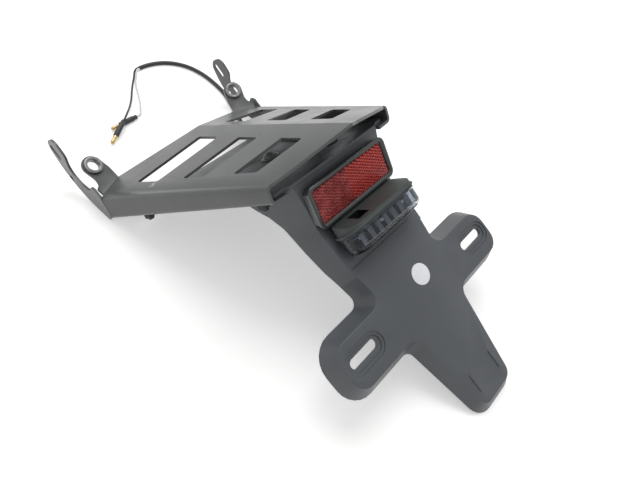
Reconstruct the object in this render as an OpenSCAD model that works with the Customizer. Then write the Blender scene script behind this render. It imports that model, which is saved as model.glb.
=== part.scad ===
// Tail tidy for a motorbike: a folded sheet tray under the tail, a moulded plate hanger bolted below it,
// a red reflector, a number plate light with its cable, and two bare bullet plugs.
// It is drawn as it stands on a table: the tray's front corners and the foot of the hanger touch z = 0.
// x runs across, y runs forward along the bike, z runs up. All sizes are in millimetres.

/* [Tray] */
// length of the tray along its ridge
ridge_len = 180; // [140:1:220]
// fall of each roof panel from the ridge, degrees
roof_fall = 13; // [6:0.5:20]
// half width of the tray at its rear corner
rear_half = 61; // [50:0.5:75]
// widening of each side for every millimetre forward
side_taper = 0.168; // [0.1:0.002:0.2]
// distance forward of the rear corners behind the ridge end
rear_sweep = 24; // [15:0.5:32]
// distance forward of the side flanges' front bend
flange_front = 216.5; // [200:0.5:235]
// thickness of the folded sheet
sheet_t = 2; // [1.5:0.1:3]
// outside radius of the fold between roof and flange
fold_r = 4; // [3:0.25:6]
// outside radius of the fold between flange and return lip
lip_r = 3.5; // [3:0.25:5]
// depth of the flange's lower edge below the ridge at the rear
flange_low_rear = 26.6; // [24:0.2:30]
// fall of the flange's lower edge for every millimetre forward
flange_fall = 0.0807; // [0.06:0.002:0.1]
// width of the return lips measured from the flange's outside
lip_w = 14; // [12:0.5:16]
// forward position of the roof's front corner beside each lug
corner_y = 225.6; // [220:0.2:232]
// sideways position of the roof's front corner beside each lug
corner_x = 67.6; // [60:0.2:75]
// corner radius of the slots in the roof
slot_r = 1.6; // [1:0.1:3]

/* [Front lugs and arms] */
// radius of the round head of each lug
lug_r = 9.2; // [8.6:0.1:11]
// forward position of the lug bores
lug_y = 231.7; // [228:0.1:235]
// sideways position of the lug bores
lug_x = 79.9; // [78:0.1:82]
// height of the lug bores above the ridge line
lug_z = 1.1; // [-1:0.1:3]
// bore through each lug bush
bush_bore = 10.2; // [8:0.2:11]
// diameter of the bush collar
bush_d = 16; // [14:0.5:18]
// collar height of the bush above the lug
bush_h = 2.6; // [1.5:0.1:4]
// sideways position of the outside face of the arms
arm_x = 93.4; // [92:0.1:95]
// width of the long slot near each arm's tip
arm_slot_w = 5.4; // [4:0.1:7]
// length of the long slot near each arm's tip
arm_slot_len = 15; // [12:0.5:18]
// small hole halfway along each arm
arm_hole_d = 5.2; // [3:0.1:6]

/* [Hanger] */
// tilt of the plate face from the ridge line, degrees
face_tilt = -119.03; // [-125:0.1:-112]
// half width of the hanger's neck
neck_half = 38.5; // [34:0.5:42]
// half span over the two ears
ear_half = 86.7; // [80:0.2:95]
// length of the slot in each ear
ear_slot_len = 26; // [20:0.5:30]
// width of the slot in each ear
ear_slot_w = 7; // [5:0.1:8]
// sideways position of the middle of each ear slot
ear_slot_x = 67; // [62:0.5:70]
// position of the ear slots down the plate face
ear_slot_t = 34.9; // [30:0.1:40]
// wall thickness of the moulding
wall = 2.6; // [2:0.1:3.5]
// flare of the skirt behind the plate face
skirt_flare = 6.4; // [4:0.2:8]
// depth of the skirt at the top of the plate face
skirt_top = 15; // [12:0.5:18]
// depth of the skirt at the foot
skirt_foot = 8; // [6:0.5:10]
// thickness of the top plate under the tray
plate_t = 3; // [2.5:0.1:4]
// length of the top plate under the tray
plate_len = 162; // [140:1:170]

/* [Reflector] */
// width of the reflector housing
refl_w = 79; // [70:0.5:90]
// height of the reflector housing
refl_h = 30.5; // [26:0.5:36]
// depth of the reflector housing
refl_d = 6.6; // [5:0.1:9]
// width of the red lens
lens_w = 71; // [60:0.5:76]
// height of the red lens
lens_h = 23.4; // [20:0.2:27]
// stud behind the reflector
stud_d = 5; // [4:0.5:6]

/* [Plate light] */
// length of the plate light
light_len = 73; // [60:0.5:80]
// front to back size of the plate light
light_w = 24; // [20:0.5:28]
// depth of the clear cover
cover_h = 15; // [12:0.5:18]
// wall of the clear cover
cover_t = 1.6; // [1.2:0.1:2]
// screws that hold the light to the hanger
light_screw_d = 4; // [3:0.5:5]

/* [Fixings] */
// bolts that hold the top plate to the return lips
lip_bolt_d = 5; // [4:1:6]
// bolt in the middle of the top plate
mid_bolt_d = 6; // [5:1:8]
// running clearance of a bolt in its hole, on the diameter
hole_clear = 0.6; // [0.3:0.1:1]
// diameter of the white label disc
disc_d = 15.8; // [12:0.2:20]

/* [Cable] */
// diameter of the black sleeve
sleeve_d = 4.6; // [4:0.1:6]
// diameter of each wire
wire_d = 2; // [1.6:0.1:2.6]
// diameter of the brass plugs
plug_d = 4; // [3.5:0.1:4.5]

/* [Hidden] */

rest_tilt = 31.186;
rest_lift = 152.466;
rest_shift = -39.74;

slope = tan(roof_fall);

function half_at(y) = rear_half + side_taper * (y - rear_sweep);
function low_at(y) = -flange_low_rear - flange_fall * (y - rear_sweep);

// unit vector and fillet helpers
function unit(v) = v / norm(v);
function arc_pts(a, b, c, r, n) =
  r <= 0 ? [b] :
  let (u = unit(a - b), v = unit(c - b), full = acos(max(-1, min(1, u * v))))
  full > 179.5 ? [for (k = [0 : n]) b] :
  let (
    back = r / tan(full / 2),
    mid = b + unit(u + v) * r / sin(full / 2),
    p = b + u * back - mid,
    q = b + v * back - mid,
    sweep = 180 - full
  )
  [for (k = [0 : n]) mid + (sin(sweep * (1 - k / n)) * p + sin(sweep * k / n) * q) / sin(sweep)];

// corners are [x, y, radius]
function xy(p) = [p[0], p[1]];
function rounded(c, n) =
  let (m = len(c))
  [for (i = [0 : m - 1]) each arc_pts(xy(c[(i + m - 1) % m]), xy(c[i]), xy(c[(i + 1) % m]), c[i][2], n)];

// turn of a corner, positive on an outside corner of an outline drawn clockwise in x and t
function cross2(a, b) = a[0] * b[1] - a[1] * b[0];
function turn(c, i) =
  let (m = len(c), p = xy(c[(i + m - 1) % m]), q = xy(c[i]), r = xy(c[(i + 1) % m]))
  cross2(q - p, r - q);

// outline of corners moved outward by e, radii kept true but never under least
function outset(c, e, sgn, least = 0.4) =
  let (m = len(c))
  [for (i = [0 : m - 1])
    let (
      p = xy(c[(i + m - 1) % m]), q = xy(c[i]), r = xy(c[(i + 1) % m]),
      d1 = unit(q - p), d2 = unit(r - q),
      n1 = sgn * [d1[1], -d1[0]], n2 = sgn * [d2[1], -d2[0]],
      s = q + e * (n1 + n2) / (1 + n1 * n2),
      rr = c[i][2] + (turn(c, i) * sgn > 0 ? e : -e)
    )
    [s[0], s[1], max(least, rr)]];

function total(v, i = 0, s = 0) = i >= len(v) ? s : total(v, i + 1, s + v[i]);

// six times the volume enclosed, positive when the faces run anticlockwise seen from outside
function enclosed(pts, faces) =
  total([for (f = faces, i = [1 : len(f) - 2]) pts[f[0]] * cross(pts[f[i]], pts[f[i + 1]])]);

module closed_solid(pts, faces) {
  flip = enclosed(pts, faces) > 0;
  polyhedron(points = pts, faces = flip ? [for (f = faces) back_to_front(f)] : faces, convexity = 8);
}

function back_to_front(s) = [for (i = [len(s) - 1 : -1 : 0]) s[i]];

function side_faces(m, k) = [for (j = [0 : k - 2], i = [0 : m - 1])
  let (a = j * m + i, b = j * m + (i + 1) % m, c = (j + 1) * m + (i + 1) % m, d = (j + 1) * m + i)
  each [[a, b, c], [a, c, d]]];

// closed rings of equal length joined into one solid, capped at both ends
module skin(rings) {
  m = len(rings[0]);
  k = len(rings);
  cap0 = [for (i = [m - 1 : -1 : 0]) i];
  cap1 = [for (i = [0 : m - 1]) (k - 1) * m + i];
  closed_solid([for (r = rings) each r], concat([cap0], side_faces(m, k), [cap1]));
}

// closed rings joined one to the next and the last to the first, as a picture frame is
module hoop(rings) {
  m = len(rings[0]);
  k = len(rings);
  last = [for (i = [0 : m - 1])
    let (a = (k - 1) * m + i, b = (k - 1) * m + (i + 1) % m, c = (i + 1) % m, d = i)
    each [[a, b, c], [a, c, d]]];
  closed_solid([for (r = rings) each r], concat(side_faces(m, k), last));
}

// places a drawing made along the ridge on the table
module stand() {
  translate([0, rest_shift, rest_lift])
    rotate([-rest_tilt, 0, 0])
      children();
}

module both() {
  children();
  mirror([1, 0, 0])
    children();
}

// slot shape with round ends along x, drawn up from z = 0
module track(length, width, height) {
  reach = (length - width) / 2;
  for (s = [-1, 1])
    translate([s * reach, 0, 0])
      cylinder(d = width, h = height, $fn = 40);
  translate([-reach, -width / 2, 0])
    cube([2 * reach, width, height]);
}

// tray sheet

arc_n = 5;

// half section of the sheet at one end: a list of [x, y, z] from the ridge to the lip's edge
function half_section(w, y_ridge, y_a, x_a, y_c, x_c, y_side, y_lip, inside) =
  let (
    t = inside ? sheet_t : 0,
    drop = t / cos(roof_fall),
    top = function (x) -slope * x - drop,
    low = low_at(y_side) + t,
    ka = [w - t, top(w - t)],
    kb = [w - t, low],
    kr = [0, top(0)],
    ke = [w - lip_w, low],
    r1 = fold_r - t,
    r2 = lip_r - t,
    arc1 = arc_pts(kr, ka, kb, r1, arc_n),
    arc2 = arc_pts(ka, kb, ke, r2, arc_n)
  )
  concat(
    [[0, y_ridge, top(0)], [x_a, y_a, top(x_a)], [x_c, y_c, top(x_c)]],
    [for (p = arc1) [p[0], y_side, p[1]]],
    [for (p = arc2) [p[0], y_side, p[1]]],
    [[w - lip_w, y_lip, low_at(y_lip) + t]]
  );

function left_of(s) = [for (i = [len(s) - 1 : -1 : 1]) [-s[i][0], s[i][1], s[i][2]]];
function full_section(s) = concat(left_of(s), s);

rear_out = full_section(half_section(rear_half, 0, 17.4, 44, 21.4, 54, rear_sweep, rear_sweep - 1, false));
rear_in = full_section(half_section(rear_half, 0, 17.4, 44, 21.4, 54, rear_sweep, rear_sweep - 1, true));
front_w = half_at(flange_front);
function front_section(inside) = full_section(half_section(
  front_w, ridge_len, corner_y, corner_x, 220.4, 86.2, flange_front, flange_front - 3, inside));
front_out = front_section(false);
front_in = front_section(true);

// the sheet's cut ends are strips between its outer and inner face
module sheet() {
  n = len(rear_out);
  m = 2 * n;
  strip0 = [for (i = [0 : n - 2]) each [[i + 1, i, m - 2 - i], [m - 2 - i, i, m - 1 - i]]];
  strip1 = [for (f = strip0) [m + f[0], m + f[2], m + f[1]]];
  closed_solid(
    concat(rear_out, back_to_front(rear_in), front_out, back_to_front(front_in)),
    concat(strip0, side_faces(m, 2), strip1)
  );
}

// slots of the right half: near the ridge first, then out along the sweep
roof_slots = [
  [[14.2, 160.9, slot_r], [70.4, 184.4, slot_r], [66.6, 154.4, 4], [14.2, 132.6, slot_r]],
  [[14.4, 104.5, slot_r], [60.8, 124.2, slot_r], [56.8, 99.6, 4], [14.4, 81.0, slot_r]],
  [[14.6, 54.2, slot_r], [51.6, 69.6, slot_r], [48.2, 46.6, 4], [14.6, 32.4, slot_r]]
];

module slot_cuts() {
  for (s = roof_slots)
    translate([0, 0, -21])
      linear_extrude(height = 24)
        polygon(rounded(s, 4));
}

// side view of an arm, forward and up
arm_side = [
  [215.2, -39.6, 0], [217.5, -41.6, 1.5], [222.6, -43.6, 2.5], [246.5, -26.6, 60], [265.5, -1, 60], [268.9, 31.2, 9.2],
  [250.1, 31.2, 9.2], [244.6, 15.5, 7], [252.2, 3, 12], [242.5, -10.5, 22], [231.5, -15.8, 3],
  [228.2, -15.2, 2.5], [224.4, -11.9, 1.4], [219.6, -13.6, 1.5], [215.2, -21.6, 0]
];

module arm() {
  difference() {
    translate([arm_x - sheet_t, 0, 0])
      rotate([90, 0, 90])
        linear_extrude(height = sheet_t)
          polygon(rounded(arm_side, 6));
    translate([arm_x - sheet_t - 1, 259.9, 19.6])
      rotate([65.5, 0, 0])
        rotate([90, 0, 90])
          track(arm_slot_len, arm_slot_w, sheet_t + 2);
    translate([arm_x - sheet_t - 1, 257.5, -5])
      rotate([0, 90, 0])
        cylinder(d = arm_hole_d, h = sheet_t + 2, $fn = 36);
  }
}

// lug frame: z faces rearward and up, y runs down to the roof's front edge
lug_n = unit([-0.218, -0.864, 0.453]);
lug_u = unit([-0.924, 0.331, 0.186] - ([-0.924, 0.331, 0.186] * lug_n) * lug_n);
lug_v = cross(lug_n, lug_u);

module in_lug() {
  multmatrix([
    [lug_u[0], lug_v[0], lug_n[0], lug_x],
    [lug_u[1], lug_v[1], lug_n[1], lug_y],
    [lug_u[2], lug_v[2], lug_n[2], lug_z],
    [0, 0, 0, 1]
  ])
    children();
}

lug_flat = [
  [lug_r, -lug_r, lug_r - 0.4], [lug_r - 0.2, 10, 20], [6.3, 22.3, 0], [-16.6, 22.3, 0],
  [-15.6, 15.2, 2], [-11.2, 13.4, 2.5], [-lug_r, 9, 8], [-lug_r, -lug_r, lug_r - 0.4]
];

bush_barrel = bush_bore + 2.8;

module lug() {
  difference() {
    in_lug()
      translate([0, 0, -sheet_t])
        linear_extrude(height = sheet_t)
          polygon(rounded(lug_flat, 8));
    in_lug()
      translate([0, 0, -sheet_t - 1])
        cylinder(d = bush_barrel + 0.2, h = sheet_t + 2, $fn = 48);
  }
}

module lip_holes() {
  for (y = bolt_rows)
    at_plate(bolt_x(y), y)
      translate([0, 0, -plate_t - sheet_t - 3])
        cylinder(d = lip_bolt_d + hole_clear, h = plate_t + sheet_t + 8, $fn = 32);
}

module tray() {
  color([0.1, 0.1, 0.11])
    stand() {
      difference() {
        sheet();
        both()
          slot_cuts();
        both()
          lip_holes();
      }
      both()
        arm();
      both()
        lug();
    }
}

module bush() {
  in_lug()
    rotate_extrude($fn = 56)
      polygon([
        [bush_bore / 2, -sheet_t - 1.4], [bush_barrel / 2, -sheet_t - 1.4], [bush_barrel / 2, 0],
        [bush_d / 2, 0], [bush_d / 2, bush_h - 0.5], [bush_d / 2 - 0.5, bush_h],
        [bush_bore / 2 + 0.4, bush_h], [bush_bore / 2, bush_h - 0.4]
      ]);
}

module lug_bushes() {
  color([0.35, 0.35, 0.36])
    stand()
      both()
        bush();
}

// hanger

plate_tilt = -atan(flange_fall);
bolt_rows = [rear_sweep + 20, rear_sweep + plate_len - 10];
function bolt_x(y) = half_at(y) - 9.5;

// a place on the top plate's upper face, z square to the plate
module at_plate(x, y) {
  translate([x, y, low_at(y) + sheet_t])
    rotate([plate_tilt, 0, 0])
      translate([0, 0, plate_t])
        children();
}

function plate_edge(y) = half_at(y) - 4.2;
plate_flat = [
  [-neck_half - 5, 23.2, 3], [neck_half + 5, 23.2, 3], [neck_half + 9, 27.2, 4], [plate_edge(29) - 1.5, 27.6, 3],
  [plate_edge(50), 50, 30], [plate_edge(rear_sweep + plate_len), rear_sweep + plate_len, 9],
  [-plate_edge(rear_sweep + plate_len), rear_sweep + plate_len, 9],
  [-plate_edge(50), 50, 30], [-plate_edge(29) + 1.5, 27.6, 3], [-neck_half - 9, 27.2, 4]
];

module top_plate() {
  translate([0, rear_sweep, low_at(rear_sweep) + sheet_t])
    rotate([plate_tilt, 0, 0])
      translate([0, -rear_sweep, 0])
        linear_extrude(height = plate_t)
          polygon(rounded(plate_flat, 4));
}

// the plate face: x across, t down the face, depth behind it
face_y = -2.9;
face_z = -95.9;

module on_face() {
  translate([0, face_y, face_z])
    rotate([face_tilt, 0, 0])
      children();
}

face_right = [
  [neck_half - 0.3, -10.5, 2], [neck_half - 4.4, 18.9, 8.4], [ear_half, 18.9, 12.5], [ear_half, 52.9, 11],
  [28.8, 52.9, 10], [17.4, 125, 8]
];
function mirrored(c) = [for (i = [len(c) - 1 : -1 : 0]) [-c[i][0], c[i][1], c[i][2]]];
face_flat = concat(face_right, mirrored(face_right));

function depth_at(t) = skirt_top + (skirt_foot - skirt_top) * (t + 10) / 135;
function ring_at(c, n, lo, hi) = [for (p = rounded(c, n)) [p[0], p[1], lo + hi * depth_at(p[1])]];
ring_n = 6;

// the rim of the face: its rounded front edge, the flared skirt behind it and a strip of the floor
floor_strip = 1.6;
// least radius of the skirt's rear edge, in its inside corners
notch_r = 6.5;
module face_rim() {
  hoop([
    ring_at(outset(face_flat, -wall - floor_strip, 1), ring_n, 0, 0),
    ring_at(outset(face_flat, -0.9, 1), ring_n, 0, 0),
    ring_at(outset(face_flat, -0.25, 1), ring_n, 0.25, 0),
    ring_at(face_flat, ring_n, 1, 0),
    ring_at(outset(face_flat, skirt_flare, 1, notch_r), ring_n, 0, 1),
    ring_at(outset(face_flat, skirt_flare - wall, 1, notch_r + wall), ring_n, 0, 1),
    ring_at(outset(face_flat, -wall, 1), ring_n, wall, 0),
    ring_at(outset(face_flat, -wall - floor_strip, 1), ring_n, wall, 0)
  ]);
}

module face_shell() {
  on_face() {
    face_rim();
    linear_extrude(height = wall)
      polygon(rounded(outset(face_flat, -wall - floor_strip / 2, 1), ring_n));
  }
}

// channel behind the reflector and the light: [half width, y, z] of the rear edge and of the front edge
channel = [
  [38.0, -0.7, -92.7, 44.0, 11.2, -99.2],
  [38.5, 3.9, -84.9, 45.2, 21.6, -88.3],
  [38.5, 12.2, -71.6, 45.8, 33.4, -73.2],
  [38.5, 19.2, -60.2, 46.2, 43.4, -58.6],
  [38.6, 20.6, -56.6, 46.4, 45.8, -55.4],
  [39.6, 21.6, -44, 47.8, 54.4, -47.2],
  [41.2, 22.3, -33, 49.6, 63, -41.6],
  [42.6, 22.9, -26.6, 51.6, 70, -35.4],
  [43.4, 23.3, -24.2, 53, 74, -28.2]
];

function band(c, in_x, in_y, out_y) =
  [[-c[0] + in_x, c[1] + in_y, c[2]], [c[0] - in_x, c[1] + in_y, c[2]],
   [c[3] - in_x, c[4] + out_y, c[5]], [-c[3] + in_x, c[4] + out_y, c[5]]];

module channel_shell() {
  n = len(channel);
  difference() {
    skin([for (i = [0 : n - 1]) band(channel[i], 0, 0, 0)]);
    skin(concat(
      [[for (p = band(channel[0], wall, wall, 8)) p + [0, 2.6, -8]]],
      [for (i = [0 : n - 1]) band(channel[i], wall, wall, 8)],
      [[for (p = band(channel[n - 1], wall, wall, 8)) p + [0, 0.4, 6]]]
    ));
  }
}

// racetrack recesses and the bosses behind them
module ear_boss() {
  on_face()
    translate([ear_slot_x, ear_slot_t, 0.6])
      track(ear_slot_len + 12, ear_slot_w + 13.4, 4.4);
}

module ear_cut() {
  on_face() {
    translate([ear_slot_x, ear_slot_t, -1])
      track(ear_slot_len + 9, ear_slot_w + 11, 1.9);
    translate([ear_slot_x, ear_slot_t, -1])
      track(ear_slot_len + 4.6, ear_slot_w + 6.4, 3);
    translate([ear_slot_x, ear_slot_t, -1])
      track(ear_slot_len, ear_slot_w, 12);
  }
}

module foot_rib() {
  on_face()
    translate([12.2, 100.4, -0.8])
      cube([1.6, 13.8, 1.6]);
}

// recess for the light below the reflector, its floor square to the way the light shines
recess_half = 30;
recess_top = -11.8;
recess_end = 15.2;
light_pad = 4.4;
panel_face = -light_w / 2 - light_pad;

module recess_walls() {
  in_light()
    rotate([90, 0, 90])
      translate([0, 0, -recess_half - wall])
        linear_extrude(height = 2 * (recess_half + wall))
          polygon([
            [panel_face - wall, recess_top - wall], [panel_face - wall, recess_end + wall],
            [-11.4, recess_end + wall], [-14.8, recess_top - wall]
          ]);
}

module recess_cut() {
  in_light()
    translate([-recess_half, panel_face, recess_top])
      cube([2 * recess_half, 34, recess_end - recess_top]);
}

module hanger_holes() {
  at_plate(0, 96)
    translate([0, 0, -12])
      cylinder(d = mid_bolt_d + hole_clear, h = 20, $fn = 36);
  at_plate(grommet_x, grommet_y)
    translate([0, 0, -12])
      cylinder(d = grommet_hole, h = 20, $fn = 40);
  in_reflector()
    translate([0, 0, -refl_d - 12])
      cylinder(d = stud_d + hole_clear, h = 14, $fn = 32);
  in_light() {
    for (x = light_screw_x)
      translate([x, panel_face - 8, light_screw_z])
        rotate([-90, 0, 0])
          cylinder(d = light_screw_d + hole_clear, h = 12, $fn = 28);
    translate([0, panel_face - 8, -6.2])
      rotate([-90, 0, 0])
        cylinder(d = sleeve_d + 2.4, h = 12, $fn = 28);
  }
}

module hanger() {
  color([0.2, 0.21, 0.22])
    stand()
      difference() {
        union() {
          face_shell();
          channel_shell();
          top_plate();
          both()
            ear_boss();
          both()
            foot_rib();
          recess_walls();
        }
        recess_cut();
        both()
          ear_cut();
        both()
          lip_holes();
        hanger_holes();
      }
}

// bolts, washers and nuts

module dome_bolt(d, length, head_d, head_h, key) {
  difference() {
    rotate_extrude($fn = 48)
      polygon(concat(
        [[0, -length], [d / 2 - 0.4, -length], [d / 2, -length + 0.4], [d / 2, 0], [head_d / 2, 0]],
        [for (k = [0 : 6]) let (a = 12 + 78 * k / 6) [head_d / 2 * cos(a) / cos(12), head_h * sin(a)]]
      ));
    translate([0, 0, head_h - 1.6])
      cylinder(d = key, h = 3, $fn = 6);
  }
}

module ring_washer(bore, outer, t) {
  difference() {
    cylinder(d = outer, h = t, $fn = 48);
    translate([0, 0, -1])
      cylinder(d = bore, h = t + 2, $fn = 48);
  }
}

thread_clear = 0.15;

module hex_nut(bore, flats, t) {
  difference() {
    intersection() {
      cylinder(d = flats / cos(30), h = t, $fn = 6);
      rotate_extrude($fn = 48)
        polygon([
          [0, 0], [flats / 2, 0], [flats / 2 / cos(30), 0.6], [flats / 2 / cos(30), t - 0.6], [flats / 2, t], [0, t]
        ]);
    }
    translate([0, 0, -1])
      cylinder(d = bore + thread_clear, h = t + 2, $fn = 36);
  }
}

washer_t = 1;
lip_washer_d = 9.4;
lip_head_d = 9;
lip_flats = 8;
lip_stack = plate_t + sheet_t;

module at_lip_bolts() {
  both()
    for (y = bolt_rows)
      at_plate(bolt_x(y), y)
        children();
}

module plate_bolts() {
  color([0.12, 0.12, 0.13])
    stand()
      at_lip_bolts()
        dome_bolt(lip_bolt_d, lip_stack + washer_t + 6, lip_head_d, 2.6, 3);
}

module plate_washers() {
  color([0.7, 0.7, 0.72])
    stand()
      at_lip_bolts()
        translate([0, 0, -lip_stack - washer_t])
          ring_washer(lip_bolt_d + 0.3, lip_washer_d, washer_t);
}

module plate_nuts() {
  color([0.6, 0.6, 0.62])
    stand()
      at_lip_bolts()
        translate([0, 0, -lip_stack - washer_t - 4])
          hex_nut(lip_bolt_d, lip_flats, 4);
}

module mid_bolt() {
  color([0.65, 0.65, 0.67])
    stand()
      at_plate(0, 96)
        translate([0, 0, washer_t])
          dome_bolt(mid_bolt_d, plate_t + 2 * washer_t + 7, 11, 3.2, 4);
}

module mid_washers() {
  color([0.7, 0.7, 0.72])
    stand()
      at_plate(0, 96) {
        ring_washer(mid_bolt_d + 0.3, 15, washer_t);
        translate([0, 0, -plate_t - washer_t])
          ring_washer(mid_bolt_d + 0.3, 15, washer_t);
      }
}

module mid_nut() {
  color([0.6, 0.6, 0.62])
    stand()
      at_plate(0, 96)
        translate([0, 0, -plate_t - washer_t - 5])
          hex_nut(mid_bolt_d, 10, 5);
}

// reflector

refl_y = 14.95;
refl_z = -42.3;

// z faces rearward out of the lens, y runs up
module in_reflector() {
  translate([0, refl_y, refl_z])
    rotate([85.8, 0, 0])
      children();
}

function oblong(w, h, r) =
  [[w / 2, h / 2, r], [w / 2, -h / 2, r], [-w / 2, -h / 2, r], [-w / 2, h / 2, r]];
function oblong_ring(w, h, r, z) = [for (p = rounded(back_to_front(oblong(w, h, r)), 5)) [p[0], p[1], z]];

module reflector_housing() {
  color([0.08, 0.08, 0.09])
    stand()
      in_reflector()
        difference() {
          skin([
            oblong_ring(refl_w - 1.6, refl_h - 3, 4, -refl_d),
            oblong_ring(refl_w - 1, refl_h - 1, 4.6, -1.6),
            oblong_ring(refl_w, refl_h, 5, -1.2),
            oblong_ring(refl_w, refl_h, 5, 0),
            oblong_ring(refl_w - 1.6, refl_h - 1.6, 4.4, 0.7),
            oblong_ring(lens_w + 3, lens_h + 3, 2.8, 0.7),
            oblong_ring(lens_w + 0.2, lens_h + 0.2, 1.8, -0.4),
            oblong_ring(lens_w + 0.2, lens_h + 0.2, 1.8, -3)
          ]);
          translate([0, 0, -refl_d - 1])
            cylinder(d = stud_d + 0.2, h = 2.8, $fn = 32);
        }
}

module reflector_lens() {
  color([0.7, 0.06, 0.06])
    stand()
      in_reflector()
        skin([
          oblong_ring(lens_w - 0.2, lens_h - 0.2, 1.6, -2.95),
          oblong_ring(lens_w - 0.2, lens_h - 0.2, 1.6, -0.6),
          oblong_ring(lens_w - 0.8, lens_h - 0.8, 1.4, -0.2)
        ]);
}

// the reflector's washer and nut sit this far behind the lens frame's origin
seat_gap = 0.3;
refl_back = refl_d + wall + seat_gap;

module reflector_stud() {
  color([0.7, 0.7, 0.72])
    stand()
      in_reflector()
        translate([0, 0, -refl_d - 11])
          rotate_extrude($fn = 32)
            polygon([[0, 0], [stud_d / 2 - 0.5, 0], [stud_d / 2, 0.5], [stud_d / 2, 12.8], [0, 12.8]]);
}

module reflector_washer() {
  color([0.7, 0.7, 0.72])
    stand()
      in_reflector()
        translate([0, 0, -refl_back - washer_t])
          ring_washer(stud_d + 0.3, 14, washer_t);
}

module reflector_nut() {
  color([0.6, 0.6, 0.62])
    stand()
      in_reflector()
        translate([0, 0, -refl_back - washer_t - 4])
          hex_nut(stud_d, 8, 4);
}

// number plate light

light_y = 3.05;
light_z = -63.85;
light_screw_x = [-20, 20];
light_screw_z = -4.6;
light_head_d = 7.4;
light_washer_d = 9;
lamp_x = [-22, 0, 22];

// z runs the way the light shines, y runs rearward and up
module in_light() {
  translate([0, light_y, light_z])
    rotate([156.2, 0, 0])
      children();
}

module light_hood() {
  color([0.07, 0.07, 0.08])
    stand()
      in_light()
        difference() {
          union() {
            intersection() {
              skin([
                oblong_ring(light_len - 9, light_w + 1, 6, -14),
                oblong_ring(light_len - 5, light_w + 1, 9, -2),
                oblong_ring(light_len - 4, light_w + 1, 10, -1.2)
              ]);
              rotate([90, 0, 90])
                translate([0, 0, -45])
                  linear_extrude(height = 90)
                    polygon([
                      [light_w / 2 + 2, -1], [light_w / 2 + 2, -2.8], [light_w / 2 - 2, -4],
                      [-light_w / 2 - 2, -11.2], [-light_w / 2 - 2, -1]
                    ]);
            }
            skin([
              oblong_ring(light_len - 1, light_w + 1, 11, -1.6),
              oblong_ring(light_len, light_w + 2, 11.4, -1.2),
              oblong_ring(light_len, light_w + 2, 11.4, 0)
            ]);
            translate([-26, panel_face, -10.8])
              cube([52, 6, 9.8]);
          }
          translate([-21, -3.5, -12])
            cube([11, 11, 8]);
          for (x = light_screw_x)
            translate([x, panel_face - 2, light_screw_z])
              rotate([-90, 0, 0])
                cylinder(d = light_screw_d + thread_clear, h = 11, $fn = 28);
          translate([0, panel_face - 2, -6.2])
            rotate([-90, 0, 0])
              cylinder(d = sleeve_d + 0.3, h = 10, $fn = 28);
          translate([0, 0, -2.4])
            track(light_len - 24, light_w - 12, 3);
        }
}

module light_gasket() {
  color([0.05, 0.05, 0.05])
    stand()
      in_light()
        difference() {
          track(light_len - 1.2, light_w + 0.8, 1);
          translate([0, 0, -1])
            track(light_len - 8, light_w - 6, 3);
        }
}

module light_cover() {
  color([0.75, 0.78, 0.8])
    stand()
      in_light()
        skin([
          oblong_ring(light_len - 13, light_w - 11, 5.8, cover_h - cover_t),
          oblong_ring(light_len - 9.4, light_w - 7.4, 7.6, cover_h - cover_t - 0.6),
          oblong_ring(light_len - 5.6, light_w - 3.6, 9.4, cover_h - 5),
          oblong_ring(light_len - 5.6, light_w - 3.6, 9.4, 1),
          oblong_ring(light_len - 1, light_w + 1, 12, 1),
          oblong_ring(light_len - 1, light_w + 1, 12, 1.8),
          oblong_ring(light_len - 2.4, light_w - 0.4, 11.2, 2.2),
          oblong_ring(light_len - 2.4, light_w - 0.4, 11.2, cover_h - 5),
          oblong_ring(light_len - 4.4, light_w - 2.4, 10.2, cover_h - 2.2),
          oblong_ring(light_len - 8.4, light_w - 6.4, 8.2, cover_h - 0.6),
          oblong_ring(light_len - 12, light_w - 10, 6.4, cover_h)
        ]);
}

module light_board() {
  color([0.55, 0.57, 0.6])
    stand()
      in_light()
        translate([0, 0, 1])
          difference() {
            track(light_len - 7, light_w - 5, 1.2);
            for (x = [-11, 11])
              translate([x, 0, -1])
                cylinder(d = 2.4, h = 4, $fn = 24);
          }
}

module light_lamps() {
  color([0.9, 0.9, 0.82])
    stand()
      in_light()
        for (x = lamp_x)
          translate([x, 0, 2.2])
            rotate_extrude($fn = 32)
              polygon([[0, 0], [3.4, 0], [3.4, 1], [2.5, 1], [2.5, 4], [1.8, 5.4], [0, 6]]);
}

module light_screws() {
  color([0.65, 0.65, 0.67])
    stand()
      in_light()
        for (x = light_screw_x)
          translate([x, panel_face - wall - washer_t, light_screw_z])
            rotate([90, 0, 0])
              dome_bolt(light_screw_d, wall + washer_t + 7, light_head_d, 2.4, 2.5);
}

module light_washers() {
  color([0.7, 0.7, 0.72])
    stand()
      in_light()
        for (x = light_screw_x)
          translate([x, panel_face - wall, light_screw_z])
            rotate([90, 0, 0])
              ring_washer(light_screw_d + 0.3, light_washer_d, washer_t);
}

module label_disc() {
  color([0.92, 0.92, 0.94])
    stand()
      on_face()
        translate([6.2, 25, -0.35])
          cylinder(d = disc_d, h = 0.35, $fn = 72);
}

// cable

grommet_x = 18;
grommet_y = 46;
grommet_hole = 9;

module cable_grommet() {
  color([0.06, 0.06, 0.06])
    stand()
      at_plate(grommet_x, grommet_y)
        rotate_extrude($fn = 40)
          polygon([
            [sleeve_d / 2 + 0.25, -plate_t - 1.6], [6, -plate_t - 1.6], [6, -plate_t], [grommet_hole / 2 - 0.1, -plate_t],
            [grommet_hole / 2 - 0.1, 0], [6, 0], [6, 1.2], [5.4, 1.6], [sleeve_d / 2 + 0.25, 1.6]
          ]);
}

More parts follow.
